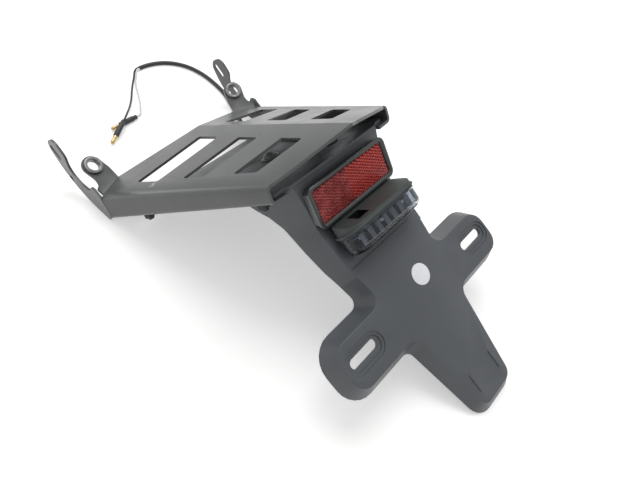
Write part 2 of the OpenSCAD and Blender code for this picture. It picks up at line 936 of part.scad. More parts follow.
function along(p, i) = unit(p[min(len(p) - 1, i + 1)] - p[max(0, i - 1)]);
function square_to(d, u) = unit(u - (u * d) * d);
function carried(p, i, u, out) =
  i >= len(p) ? out :
  let (v = square_to(along(p, i), u))
  carried(p, i + 1, v, concat(out, [v]));

// round tube of n sides along a list of points
module tube(p, d, n) {
  first = along(p, 0);
  ups = carried(p, 0, abs(first[2]) > 0.9 ? [1, 0, 0] : [0, 0, 1], []);
  rings = [for (i = [0 : len(p) - 1])
    let (u = ups[i], w = cross(along(p, i), u))
    [for (j = [0 : n - 1]) p[i] + d / 2 * (cos((j + 0.5) * 360 / n) * u + sin((j + 0.5) * 360 / n) * w)]];
  skin(rings);
}

// route of the sleeve, from inside the light's hood to its cut end on the table
sleeve_route = [
  [0, -60, 92.4], [0, -55.7, 86.4], [0, -50.2, 78.5], [0.5, -45.5, 74.5], [2.5, -39, 73],
  [5, -32.5, 75], [8, -28, 80], [13, -23.5, 88], [17, -20, 96], [18, -17, 102],
  [18, -14.1, 106.1], [18, -11.1, 110.1], [18.5, -5.5, 114], [20, 2.5, 112.5], [22.5, 11, 104.5],
  [25.5, 18.5, 94], [28.5, 26.5, 84], [32, 37.5, 75.7], [36, 52, 65.1], [40, 67, 54.3],
  [44, 81.5, 43.8], [48, 95, 34.5], [54.5, 109, 26], [61.5, 122, 18.5], [68.5, 134.5, 12],
  [75.5, 146.5, 7.2], [82.5, 159, 4.2], [88.5, 171, 2.8], [94, 183, 2.4], [98.5, 195, 2.4],
  [101.5, 208, 2.4], [103.5, 221, 2.4], [104.5, 234, 2.4], [104, 246, 2.4], [102, 258, 2.4],
  [97.5, 269.5, 2.4], [90.5, 279.5, 2.4], [81, 287, 2.4], [70, 291.3, 2.4], [60, 292.6, 2.4]
];

// routes of the two wires, from the sleeve's cut end to the rear face of each shroud
black_route = [
  [60.1, 293.7, 2.4], [57.2, 294.1, 2.3], [53.8, 292.6, 1.5], [50.2, 289, 1.1], [46.7, 284.7, 1.1],
  [43.1, 280.6, 1.1], [39.8, 277, 1.1], [36.4, 273.2, 1.1], [33.2, 269.4, 1.1], [30, 265.6, 1.1],
  [27, 261.8, 1.1], [23.8, 257.6, 1.2], [20.4, 253.4, 1.5], [17, 249.2, 2.2], [13.4, 244.8, 3.2],
  [9.8, 240.6, 4.4], [6.2, 236.4, 5.7], [2.6, 232.4, 7.1], [-1, 228.6, 8.4], [-4.6, 225.2, 8.9],
  [-8.1, 222.7, 8.6], [-10.6, 221.3, 8.1]
];
white_route = [
  [59.8, 291.5, 2.4], [56.9, 291.8, 2.3], [55, 290.6, 1.6], [51.8, 287.4, 1.1], [48.5, 283.3, 1.1],
  [44.9, 279.1, 1.1], [41.6, 274.6, 1.1], [38.4, 269.6, 1.1], [35.6, 264.6, 1.1], [32.9, 259.6, 1.1],
  [30.2, 254.6, 1.1], [27.4, 249.4, 1.1], [24.6, 244.4, 1.1], [21.4, 239.4, 1.1], [18, 234.6, 1.2],
  [14.6, 229.8, 1.6], [11.6, 225.9, 2.4], [8.6, 224, 2.9], [5.7, 224, 2.9]
];

// bullet plugs: [tip x, y, z, turn, rise], drawn from the tip along x to the wire
bullet_len = 10;
shroud_len = 20;
shroud_d = 5.4;
shank_d = 3.2;
plug_fit = 0.1;
black_plug = [-36.2, 206.5, 2.3, 30, 11];
white_plug = [-24.4, 224, 2.9, 0, 0];

module at_plug(p) {
  translate([p[0], p[1], p[2]])
    rotate([0, -p[4], p[3]])
      rotate([0, 90, 0])
        children();
}

module bullet() {
  rotate_extrude($fn = 32)
    polygon([
      [0, 0], [0.9, 0.15], [1.6, 0.8], [plug_d / 2, 2.2], [plug_d / 2, 5], [plug_d / 2 - 0.5, 5.6],
      [plug_d / 2 - 0.5, 6.6], [plug_d / 2, 7.2], [plug_d / 2, bullet_len], [shank_d / 2, bullet_len],
      [shank_d / 2, bullet_len + shroud_len / 2], [0, bullet_len + shroud_len / 2]
    ]);
}

// the shroud grips the plug's shank at its mouth and the wire at its narrow end
module shroud() {
  bore = shank_d + plug_fit;
  end = bullet_len + shroud_len;
  rotate_extrude($fn = 32)
    polygon([
      [bore / 2, bullet_len], [shroud_d / 2 - 0.3, bullet_len], [shroud_d / 2, bullet_len + 0.3],
      [shroud_d / 2, end - 5], [shroud_d / 2 - 0.5, end - 3.4], [shroud_d / 2 - 0.5, end - 0.3],
      [shroud_d / 2 - 0.8, end], [0, end], [0, end - shroud_len / 2 + plug_fit],
      [bore / 2, end - shroud_len / 2 + plug_fit]
    ]);
}

module cable_sleeve() {
  color([0.05, 0.05, 0.05])
    tube(sleeve_route, sleeve_d, 10);
}

module wire_black() {
  color([0.06, 0.06, 0.06])
    tube(black_route, wire_d, 8);
}

module wire_white() {
  color([0.85, 0.85, 0.85])
    tube(white_route, wire_d, 8);
}

module shroud_black() {
  color([0.1, 0.1, 0.11])
    at_plug(black_plug)
      shroud();
}

module shroud_white() {
  color([0.1, 0.1, 0.11])
    at_plug(white_plug)
      shroud();
}

module plug_black() {
  color([0.75, 0.65, 0.35])
    at_plug(black_plug)
      bullet();
}

module plug_white() {
  color([0.75, 0.65, 0.35])
    at_plug(white_plug)
      bullet();
}

tray();
lug_bushes();
hanger();
plate_bolts();
plate_washers();
plate_nuts();
mid_bolt();
mid_washers();
mid_nut();
reflector_housing();
reflector_lens();
reflector_stud();
reflector_washer();
reflector_nut();
light_hood();
light_gasket();
light_cover();
light_board();
light_lamps();
light_screws();
light_washers();
cable_grommet();
label_disc();
cable_sleeve();
wire_black();
wire_white();
shroud_black();
shroud_white();
plug_black();
plug_white();
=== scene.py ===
import math
import bpy
from mathutils import Matrix, Vector


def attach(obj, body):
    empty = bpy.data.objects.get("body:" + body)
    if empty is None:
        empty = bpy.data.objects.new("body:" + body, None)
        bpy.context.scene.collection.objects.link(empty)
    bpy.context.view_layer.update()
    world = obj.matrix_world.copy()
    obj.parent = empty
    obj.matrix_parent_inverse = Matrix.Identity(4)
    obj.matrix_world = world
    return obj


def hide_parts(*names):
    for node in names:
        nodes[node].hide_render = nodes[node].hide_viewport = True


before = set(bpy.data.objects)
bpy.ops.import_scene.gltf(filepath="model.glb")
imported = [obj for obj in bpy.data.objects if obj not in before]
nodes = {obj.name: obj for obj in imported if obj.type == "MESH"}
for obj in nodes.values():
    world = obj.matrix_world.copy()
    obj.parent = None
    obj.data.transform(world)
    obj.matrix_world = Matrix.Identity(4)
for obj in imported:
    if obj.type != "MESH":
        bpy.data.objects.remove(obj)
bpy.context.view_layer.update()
scene = bpy.context.scene
mm = 0.001
print("frame loaded")


# modelling helpers, with their sizes in mm

mergeDistance = 0.002  # corners of a CAD node's loose triangles that are closer than this are one
usualEdge = 32  # degrees from which an edge is eased and not smoothed


def deselectEverything():
    if bpy.context.mode != "OBJECT":
        bpy.ops.object.mode_set(mode="OBJECT")
    bpy.ops.object.select_all(action="DESELECT")


def pick(piece):
    deselectEverything()
    piece.select_set(True)
    bpy.context.view_layer.objects.active = piece


def newPiece(name):
    piece = bpy.context.object
    piece.name = name
    piece.data.name = name
    return piece


def applyPlace(piece, place=None):
    pick(piece)
    bpy.ops.object.transform_apply(location=True, rotation=True, scale=True)
    if place is not None:
        piece.data.transform(place)
        piece.data.update()


def selectFaces(piece, test):
    bpy.ops.object.mode_set(mode="OBJECT")
    for vertex in piece.data.vertices:
        vertex.select = False
    for edge in piece.data.edges:
        edge.select = False
    for face in piece.data.polygons:
        face.select = test(face)
    bpy.ops.object.mode_set(mode="EDIT")
    bpy.ops.mesh.select_mode(type="FACE")


def smoothBy(piece, angle):
    pick(piece)
    bpy.ops.object.shade_smooth_by_angle(angle=math.radians(angle))


def addEase(piece, width, steps=2):
    bevel = piece.modifiers.new("ease", "BEVEL")
    bevel.width = width * mm
    bevel.segments = steps
    bevel.limit_method = "ANGLE"
    return bevel


def applyModifiers(piece):
    pick(piece)
    for modifier in list(piece.modifiers):
        bpy.ops.object.modifier_apply(modifier=modifier.name)


# a merged copy of a CAD node, with its edges eased
def easedCopy(nodeName, name, ease, steps=2, edgeAngle=usualEdge):
    source = nodes[nodeName]
    piece = bpy.data.objects.new(name, source.data.copy())
    scene.collection.objects.link(piece)
    pick(piece)
    piece.data.materials.clear()
    bpy.ops.mesh.customdata_custom_splitnormals_clear()
    bpy.ops.object.mode_set(mode="EDIT")
    bpy.ops.mesh.select_all(action="SELECT")
    bpy.ops.mesh.remove_doubles(threshold=mergeDistance * mm)
    bpy.ops.object.mode_set(mode="OBJECT")
    if ease > 0:
        bevel = addEase(piece, ease, steps)
        bevel.angle_limit = math.radians(edgeAngle)
        bevel.use_clamp_overlap = True
        bevel.miter_outer = "MITER_ARC"
        applyModifiers(piece)
    smoothBy(piece, edgeAngle)
    return piece


def dress(piece, material, replaced):
    piece.data.materials.clear()
    piece.data.materials.append(material)
    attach(piece, "root")
    if replaced:
        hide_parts(*replaced)
    return piece


# gives the faces that pass a test a second finish
def repaint(piece, material, test):
    piece.data.materials.append(material)
    last = len(piece.data.materials) - 1
    for face in piece.data.polygons:
        if test(face):
            face.material_index = last


# material helpers, with their sizes in mm

# noise that all finishes share: its size, the levels that it fades between and its detail
finishNoise = {
    "patch": {"low": 0.35, "high": 0.68, "detail": 5.0},
    "speck": {"size": 0.9, "fade": 0.05, "detail": 2.0},
    "scratch": {"size": 0.5, "low": 0.7, "high": 0.78, "detail": 2.0, "stretch": (1, 0.03, 0.6)},
    "scratchField": {"size": 26, "low": 0.52, "high": 0.62, "detail": 2.0},
    "rub": {"size": 1.6, "low": 0.42, "high": 0.6, "detail": 5.0},
    "gloss": {"low": 0.3, "high": 0.7, "detail": 4.0},
    "grain": {"low": 0.0, "high": 1.0, "detail": 3.0},
}
glossPatch = 12  # unless a look gives its own
spotCore = 0.3  # share of a worn spot's radius that is worn through

# a Mix node's colour sockets, which share their names with its other sockets
mixUnder = 6
mixOver = 7
mixResult = 2


def addNode(material, kind, **values):
    node = material.node_tree.nodes.new(kind)
    for key, value in values.items():
        label = key[0].upper() + key[1:]
        if label in node.inputs:
            node.inputs[label].default_value = value
        else:
            setattr(node, key, value)
    return node


def link(material, source, target):
    material.node_tree.links.new(source, target)


def plainMaterial(name, colour, roughness, metallic=0.0):
    material = bpy.data.materials.new(name)
    material.use_nodes = True
    shader = material.node_tree.nodes["Principled BSDF"]
    shader.inputs["Base Color"].default_value = (*colour, 1)
    shader.inputs["Roughness"].default_value = roughness
    shader.inputs["Metallic"].default_value = metallic
    return material, shader


def placed(material, turn, stretch):
    where = addNode(material, "ShaderNodeTexCoord")
    mapping = addNode(material, "ShaderNodeMapping")
    mapping.inputs["Rotation"].default_value = [math.radians(a) for a in turn]
    mapping.inputs["Scale"].default_value = stretch
    link(material, where.outputs["Object"], mapping.inputs["Vector"])
    return mapping.outputs["Vector"]


def noiseMask(material, size, low, high, detail, turn=(0, 0, 0), stretch=(1, 1, 1)):
    noise = addNode(material, "ShaderNodeTexNoise", scale=1 / (size * mm), detail=detail)
    link(material, placed(material, turn, stretch), noise.inputs["Vector"])
    spread = addNode(material, "ShaderNodeMapRange")
    spread.inputs["From Min"].default_value = low
    spread.inputs["From Max"].default_value = high
    link(material, noise.outputs["Fac"], spread.inputs["Value"])
    return spread.outputs["Result"]


def blendColour(material, amount, under, over):
    mix = addNode(material, "ShaderNodeMix", data_type="RGBA")
    link(material, amount, mix.inputs["Factor"])
    for socket, value in ((mix.inputs[mixUnder], under), (mix.inputs[mixOver], over)):
        if isinstance(value, (tuple, list)):
            socket.default_value = (*value, 1)
        else:
            link(material, value, socket)
    return mix.outputs[mixResult]


def times(material, first, second):
    product = addNode(material, "ShaderNodeMath", operation="MULTIPLY")
    for socket, value in zip(product.inputs, (first, second)):
        if isinstance(value, (int, float)):
            socket.default_value = value
        else:
            link(material, value, socket)
    return product.outputs["Value"]


# 1 in the core of a ball round a point of the part, falling to 0 at its edge
def spotMask(material, centre, radius):
    where = addNode(material, "ShaderNodeTexCoord")
    distance = addNode(material, "ShaderNodeVectorMath", operation="DISTANCE")
    link(material, where.outputs["Object"], distance.inputs[0])
    distance.inputs[1].default_value = centre
    fall = addNode(material, "ShaderNodeMapRange")
    fall.inputs["From Min"].default_value = radius
    fall.inputs["From Max"].default_value = radius * spotCore
    link(material, distance.outputs["Value"], fall.inputs["Value"])
    return fall.outputs["Result"]


def bumpBy(material, shader, layers):
    last = None
    for height, depth in layers:
        bump = addNode(material, "ShaderNodeBump", strength=1.0, distance=depth * mm)
        link(material, height, bump.inputs["Height"])
        if last is not None:
            link(material, last, bump.inputs["Normal"])
        last = bump.outputs["Normal"]
    link(material, last, shader.inputs["Normal"])


def addDust(material, colour, dust):
    speck = finishNoise["speck"]
    specks = noiseMask(material, speck["size"], dust["from"], dust["from"] + speck["fade"], speck["detail"])
    return blendColour(material, specks, colour, dust["colour"])


def addScratches(material, colour, scratches):
    for turn in scratches["turns"]:
        lines = noiseMask(material, turn=turn, **finishNoise["scratch"])
        field = noiseMask(material, **finishNoise["scratchField"])
        lines = times(material, times(material, lines, field), scratches["amount"])
        colour = blendColour(material, lines, colour, scratches["colour"])
    return colour


def addWornSpots(material, colour, spots, bare):
    for centre, radius, amount in spots:
        rub = noiseMask(material, **finishNoise["rub"])
        rub = times(material, times(material, rub, spotMask(material, centre, radius)), amount)
        colour = blendColour(material, rub, colour, bare)
    return colour


def finishOf(name, look):
    material, shader = plainMaterial(name, look["colour"], look["roughness"][0], look.get("metallic", 0.0))
    patch = noiseMask(material, look["patch"], **finishNoise["patch"])
    colour = blendColour(material, patch, look["colour"], look["second"])
    if "dust" in look:
        colour = addDust(material, colour, look["dust"])
    if "scratches" in look:
        colour = addScratches(material, colour, look["scratches"])
    if "worn" in look:
        colour = addWornSpots(material, colour, look["worn"], look["bare"])
    link(material, colour, shader.inputs["Base Color"])
    gloss = noiseMask(material, look.get("glossPatch", glossPatch), **finishNoise["gloss"])
    spread = addNode(material, "ShaderNodeMapRange")
    spread.inputs["To Min"].default_value, spread.inputs["To Max"].default_value = look["roughness"]
    link(material, gloss, spread.inputs["Value"])
    link(material, spread.outputs["Result"], shader.inputs["Roughness"])
    if "grain" in look:
        layers = [(noiseMask(material, size, **finishNoise["grain"]), depth) for size, depth in look["grain"]]
        bumpBy(material, shader, layers)
    for socket, value in look.get("sockets", {}).items():
        shader.inputs[socket].default_value = value
    return material


# tinted clear plastic with a faint ripple
def clearPlastic(name, look):
    material, shader = plainMaterial(name, look["colour"], look["roughness"])
    shader.inputs["Transmission Weight"].default_value = 1.0
    shader.inputs["IOR"].default_value = look["ior"]
    ripple = look["ripple"]
    wave = noiseMask(material, ripple["size"], 0, 1, ripple["detail"])
    bumpBy(material, shader, [(wave, ripple["depth"])])
    return material


# a CAD node's eased copy in the finish of its look
def dressedNode(nodeName, pieceName, finishName, look):
    piece = easedCopy(nodeName, pieceName, look["ease"], edgeAngle=look.get("edgeAngle", usualEdge))
    return dress(piece, finishOf(finishName, look), [nodeName])


# camera at the photograph's angle, solved from the object's own proportions, in metres, its lens in mm

cameraView = {
    "place": (-0.21887, -0.18142, 0.35243),
    "right": (0.65534, -0.75021, 0.08773),
    "up": (0.54703, 0.55150, 0.62977),
    "forward": (0.52085, 0.36473, -0.77180),
    "lens": 29.38,
    "sensor": 36,
    "nearest": 0.01,
    "farthest": 50,
}


def makeCamera(view):
    data = bpy.data.cameras.new("photoCamera")
    data.lens = view["lens"]
    data.sensor_width = view["sensor"]
    data.clip_start = view["nearest"]
    data.clip_end = view["farthest"]
    camera = bpy.data.objects.new("photoCamera", data)
    scene.collection.objects.link(camera)
    columns = [Vector(view["right"]), Vector(view["up"]), -Vector(view["forward"])]
    turn = Matrix(columns).transposed().to_quaternion().to_matrix().to_4x4()
    camera.matrix_world = Matrix.Translation(view["place"]) @ turn
    scene.camera = camera


makeCamera(cameraView)
print("camera made")


# cable and wires, on the same routes as the solids

cable = {
    "sleeve": [
        (0, -60, 92.4), (0, -55.7, 86.4), (0, -50.2, 78.5), (0.5, -45.5, 74.5), (2.5, -39, 73),
        (5, -32.5, 75), (8, -28, 80), (13, -23.5, 88), (17, -20, 96), (18, -17, 102),
        (18, -14.1, 106.1), (18, -11.1, 110.1), (18.5, -5.5, 114), (20, 2.5, 112.5), (22.5, 11, 104.5),
        (25.5, 18.5, 94), (28.5, 26.5, 84), (32, 37.5, 75.7), (36, 52, 65.1), (40, 67, 54.3),
        (44, 81.5, 43.8), (48, 95, 34.5), (54.5, 109, 26), (61.5, 122, 18.5), (68.5, 134.5, 12),
        (75.5, 146.5, 7.2), (82.5, 159, 4.2), (88.5, 171, 2.8), (94, 183, 2.4), (98.5, 195, 2.4),
        (101.5, 208, 2.4), (103.5, 221, 2.4), (104.5, 234, 2.4), (104, 246, 2.4), (102, 258, 2.4),
        (97.5, 269.5, 2.4), (90.5, 279.5, 2.4), (81, 287, 2.4), (70, 291.3, 2.4), (60, 292.6, 2.4)],
    "black": [
        (60.1, 293.7, 2.4), (57.2, 294.1, 2.3), (53.8, 292.6, 1.5), (50.2, 289, 1.1), (46.7, 284.7, 1.1),
        (43.1, 280.6, 1.1), (39.8, 277, 1.1), (36.4, 273.2, 1.1), (33.2, 269.4, 1.1), (30, 265.6, 1.1),
        (27, 261.8, 1.1), (23.8, 257.6, 1.2), (20.4, 253.4, 1.5), (17, 249.2, 2.2), (13.4, 244.8, 3.2),
        (9.8, 240.6, 4.4), (6.2, 236.4, 5.7), (2.6, 232.4, 7.1), (-1, 228.6, 8.4), (-4.6, 225.2, 8.9),
        (-8.1, 222.7, 8.6), (-10.6, 221.3, 8.1)],
    "white": [
        (59.8, 291.5, 2.4), (56.9, 291.8, 2.3), (55, 290.6, 1.6), (51.8, 287.4, 1.1), (48.5, 283.3, 1.1),
        (44.9, 279.1, 1.1), (41.6, 274.6, 1.1), (38.4, 269.6, 1.1), (35.6, 264.6, 1.1), (32.9, 259.6, 1.1),
        (30.2, 254.6, 1.1), (27.4, 249.4, 1.1), (24.6, 244.4, 1.1), (21.4, 239.4, 1.1), (18, 234.6, 1.2),
        (14.6, 229.8, 1.6), (11.6, 225.9, 2.4), (8.6, 224, 2.9), (5.7, 224, 2.9)],
    "sleeveWidth": 4.6, "wireWidth": 2.0, "stepsAlong": 5, "stepsRound": 5,
}


# the points carry the cord's radius, so that its bounds stay true
def cordCurve(name, route, width):
    data = bpy.data.curves.new(name, "CURVE")
    data.dimensions = "3D"
    data.resolution_u = cable["stepsAlong"]
    data.bevel_depth = 1.0
    data.bevel_resolution = cable["stepsRound"]
    data.use_fill_caps = True
    line = data.splines.new("BEZIER")
    line.bezier_points.add(len(route) - 1)
    for point, place in zip(line.bezier_points, route):
        point.co = Vector(place) * mm
        point.radius = width * mm / 2
        point.handle_left_type = point.handle_right_type = "AUTO"
    piece = bpy.data.objects.new(name, data)
    scene.collection.objects.link(piece)
    return piece


def routeLength(curve):
    depth, curve.data.bevel_depth = curve.data.bevel_depth, 0
    bpy.context.view_layer.update()
    mesh = curve.evaluated_get(bpy.context.evaluated_depsgraph_get()).to_mesh()
    points = [vertex.co.copy() for vertex in mesh.vertices]
    curve.data.bevel_depth = depth
    return sum((b - a).length for a, b in zip(points, points[1:]))


sleeveLook = {
    "colour": (0.012, 0.012, 0.013), "second": (0.022, 0.022, 0.024), "patch": 9,
    "roughness": (0.34, 0.5), "grain": [(0.6, 0.02)],
    "dust": {"from": 0.74, "colour": (0.09, 0.09, 0.09)}}
whiteSkinLook = {
    "colour": (0.72, 0.72, 0.7), "second": (0.8, 0.8, 0.78), "patch": 8,
    "roughness": (0.35, 0.5), "grain": [(0.6, 0.01)]}

sleeveSkin = finishOf("sleeveSkin", sleeveLook)
whiteSkin = finishOf("whiteSkin", whiteSkinLook)

sleeve = cordCurve("cableSleeve", cable["sleeve"], cable["sleeveWidth"])
blackWire = cordCurve("blackWire", cable["black"], cable["wireWidth"])
whiteWire = cordCurve("whiteWire", cable["white"], cable["wireWidth"])
dress(sleeve, sleeveSkin, ["cable_sleeve"])
dress(blackWire, sleeveSkin, ["wire_black"])
dress(whiteWire, whiteSkin, ["wire_white"])
print("cable made")


# the hanger's lean on the table, and the reflector and the light on the hanger, in mm and degrees

seats = {
    "hanger": (0, -39.74, 152.466), "hangerLean": -31.186,
    "reflector": (0, 14.95, -42.3), "reflectorTurn": 85.8,
    "light": (0, 3.05, -63.85), "lightTurn": 156.2,
}


def seated(base, place, turn):
    return base @ Matrix.Translation([v * mm for v in place]) @ Matrix.Rotation(math.radians(turn), 4, "X")


standing = seated(Matrix(), seats["hanger"], seats["hangerLean"])
reflectorPlace = seated(standing, seats["reflector"], seats["reflectorTurn"])
lightPlace = seated(standing, seats["light"], seats["lightTurn"])


# tray: folded sheet, black satin powder coat

trayLook = {
    "colour": (0.088, 0.092, 0.091), "second": (0.104, 0.108, 0.107), "patch": 55,
    "roughness": (0.27, 0.36), "glossPatch": 18, "grain": [(1.4, 0.012), (0.35, 0.004)],
    "dust": {"from": 0.745, "colour": (0.3, 0.3, 0.29)},
    "scratches": {"turns": [(0, 0, 28), (0, 0, -52)], "amount": 0.35, "colour": (0.34, 0.34, 0.33)},
    "bare": (0.5, 0.5, 0.49),
    "worn": [  # place and radius in metres, amount
        ((-0.0707, 0.0854, 0.0576), 0.004, 0.9),
        ((0.0035, -0.0399, 0.1496), 0.005, 0.7),
        ((0.007, 0.0695, 0.0844), 0.006, 0.35)],
    "ease": 0.4, "edgeAngle": 19,
}
dressedNode("tray", "traySheet", "trayPaint", trayLook)

bushLook = {
    "colour": (0.16, 0.16, 0.165), "second": (0.24, 0.24, 0.24), "patch": 4, "metallic": 0.85,
    "roughness": (0.3, 0.42), "grain": [(0.4, 0.01)],
    "scratches": {"turns": [(0, 0, 10)], "amount": 0.4, "colour": (0.5, 0.5, 0.5)},
    "ease": 0.25}
dressedNode("lug_bushes", "lugBushes", "bushMetal", bushLook)
print("tray made")


# hanger: moulded plastic with a fine grain

hangerLook = {
    "colour": (0.076, 0.083, 0.092), "second": (0.088, 0.096, 0.105), "patch": 40,
    "roughness": (0.4, 0.5), "glossPatch": 22, "grain": [(0.5, 0.012), (2.5, 0.01)],
    "dust": {"from": 0.76, "colour": (0.26, 0.27, 0.28)},
    "scratches": {"turns": [(0, 20, 40), (30, 0, -35)], "amount": 0.3, "colour": (0.24, 0.25, 0.26)},
    "ease": 0.5}
dressedNode("hanger", "plateHanger", "hangerPlastic", hangerLook)
print("hanger made")


# fixings, and the other small pieces

fixingEase = 0.12
fixingLooks = {
    "boltBlack": {
        "colour": (0.03, 0.03, 0.032), "second": (0.05, 0.05, 0.052), "patch": 3, "metallic": 0.4,
        "roughness": (0.35, 0.5), "grain": [(0.3, 0.008)]},
    # painted light: the mid bolt and its washers sit in the shade under the tray, and are painted light grey
    # to make up for it
    "capPaintedLight": {
        "colour": (0.32, 0.33, 0.33), "second": (0.26, 0.27, 0.27), "patch": 4,
        "roughness": (0.32, 0.45), "grain": [(0.4, 0.008)]},
    "zincPlate": {
        "colour": (0.5, 0.5, 0.48), "second": (0.36, 0.36, 0.35), "patch": 3, "metallic": 0.95,
        "roughness": (0.28, 0.45), "grain": [(0.25, 0.006)],
        "scratches": {"turns": [(0, 0, 25)], "amount": 0.5, "colour": (0.2, 0.2, 0.19)}},
    "brassPlug": {
        "colour": (0.62, 0.46, 0.2), "second": (0.42, 0.32, 0.17), "patch": 2.5, "metallic": 0.95,
        "roughness": (0.24, 0.4), "grain": [(0.3, 0.006)]},
    "shroudSkin": {
        "colour": (0.02, 0.021, 0.024), "second": (0.035, 0.037, 0.042), "patch": 4,
        "roughness": (0.38, 0.5), "grain": [(0.8, 0.03)]},
    "grommetRubber": {
        "colour": (0.02, 0.02, 0.02), "second": (0.035, 0.035, 0.035), "patch": 4,
        "roughness": (0.55, 0.7), "grain": [(0.5, 0.02)]},
    "discWhite": {
        "colour": (0.94, 0.95, 0.98), "second": (0.9, 0.91, 0.94), "patch": 5,
        "roughness": (0.25, 0.36), "grain": [(0.8, 0.006)]},
}
fixings = {name: finishOf(name, look) for name, look in fixingLooks.items()}

# node, piece, finish and slot
fixingPieces = [
    ("plate_bolts", "plateBolts", "boltBlack", "bolt_black"),
    ("plate_washers", "plateWashers", "zincPlate", "zinc"),
    ("plate_nuts", "plateNuts", "boltBlack", "zinc"),
    ("mid_bolt", "midBolt", "capPaintedLight", "zinc"),
    ("mid_washers", "midWashers", "capPaintedLight", "zinc"),
    ("mid_nut", "midNut", "zincPlate", "zinc"),
    ("reflector_stud", "reflectorStud", "zincPlate", "zinc"),
    ("reflector_washer", "reflectorWasher", "zincPlate", "zinc"),
    ("reflector_nut", "reflectorNut", "zincPlate", "zinc"),
    ("light_screws", "lightScrews", "zincPlate", "zinc"),
    ("light_washers", "lightWashers", "zincPlate", "zinc"),
    ("light_gasket", "lightGasket", "grommetRubber", "gasket_rubber"),
    ("cable_grommet", "cableGrommet", "grommetRubber", "gasket_rubber"),
    ("label_disc", "labelDisc", "discWhite", "disc_white"),
    ("shroud_black", "blackShroud", "shroudSkin", "shroud_skin"),
    ("shroud_white", "whiteShroud", "shroudSkin", "shroud_skin"),
    ("plug_black", "blackPlug", "brassPlug", "plug_brass"),
    ("plug_white", "whitePlug", "brassPlug", "plug_brass"),
]
for nodeName, pieceName, finish, slotName in fixingPieces:
    piece = easedCopy(nodeName, pieceName, fixingEase)
    dress(piece, fixings[finish], [nodeName])

routeLength(sleeve)
routeLength(blackWire)
routeLength(whiteWire)
print("fixings made")


# reflector: glossy housing with a painted reflection on its two ends, clear red lens, corner cubes behind its
# face

housingLook = {
    "colour": (0.04, 0.043, 0.044), "second": (0.05, 0.054, 0.055), "patch": 12,
    "roughness": (0.16, 0.24), "grain": [(2.5, 0.006)],
    "dust": {"from": 0.75, "colour": (0.2, 0.2, 0.2)},
    "ease": 0.25}
# painted reflection: the housing's side walls are painted paler, standing in for the bright surroundings that
# they reflect
paintedReflectionFlank = {
    "facing": 0.93, "beyond": 38,
    "look": {"colour": (0.13, 0.14, 0.14), "second": (0.16, 0.17, 0.17), "patch": 8,
             "roughness": (0.3, 0.4), "grain": [(1.2, 0.006)]}}


def onPaintedReflectionFlank(face):
    return abs(face.normal.x) > paintedReflectionFlank["facing"] and abs(face.center.x) > paintedReflectionFlank["beyond"] * mm


housing = dressedNode("reflector_housing", "reflectorHousing", "housingGloss", housingLook)
# the side walls get the painted reflection
repaint(housing, finishOf("housingPaintedReflection", paintedReflectionFlank["look"]), onPaintedReflectionFlank)

lensLook = {"colour": (0.99, 0.22, 0.2), "roughness": 0.05, "ior": 1.18,
            "ripple": {"size": 6, "depth": 0.003, "detail": 3.0}, "ease": 0.12, "easeSteps": 1}
lensFace = easedCopy("reflector_lens", "lensFace", lensLook["ease"], lensLook["easeSteps"])
dress(lensFace, clearPlastic("lensRed", lensLook), ["reflector_lens"])

# the grid of cubes is wider than the lens, and is cut back to its outline less the inset
cubes = {
    "lensWide": 71.0, "lensTall": 23.4, "inset": 0.3, "corner": 0.7,
    "pitch": 2.3, "back": -2.6, "front": -0.95, "columns": 78, "rows": 24,
    # towards, and the threshold under it, choose which facets get the painted highlight
    "towards": (0.5, 0.866), "paintedLitBelow": -0.4, "dullLeftOf": -2,
}
# painted highlight and painted shade: lit and shaded copies of the cube finish, as a plain pair and a duller
# pair, that stand in for the light the cubes send back
cubeLooks = {
    "prismPaintedLit": {
        "colour": (1.0, 0.95, 0.9), "second": (1.0, 0.8, 0.76), "patch": 5, "roughness": (0.5, 0.6)},
    "prismPaintedShade": {
        "colour": (0.22, 0.08, 0.08), "second": (0.3, 0.12, 0.12), "patch": 5, "roughness": (0.5, 0.6)},
    "prismDullPaintedLit": {
        "colour": (0.42, 0.34, 0.36), "second": (0.8, 0.8, 0.84), "patch": 6, "roughness": (0.5, 0.6)},
    "prismDullPaintedShade": {
        "colour": (0.17, 0.11, 0.12), "second": (0.27, 0.22, 0.23), "patch": 6, "roughness": (0.5, 0.6)},
}


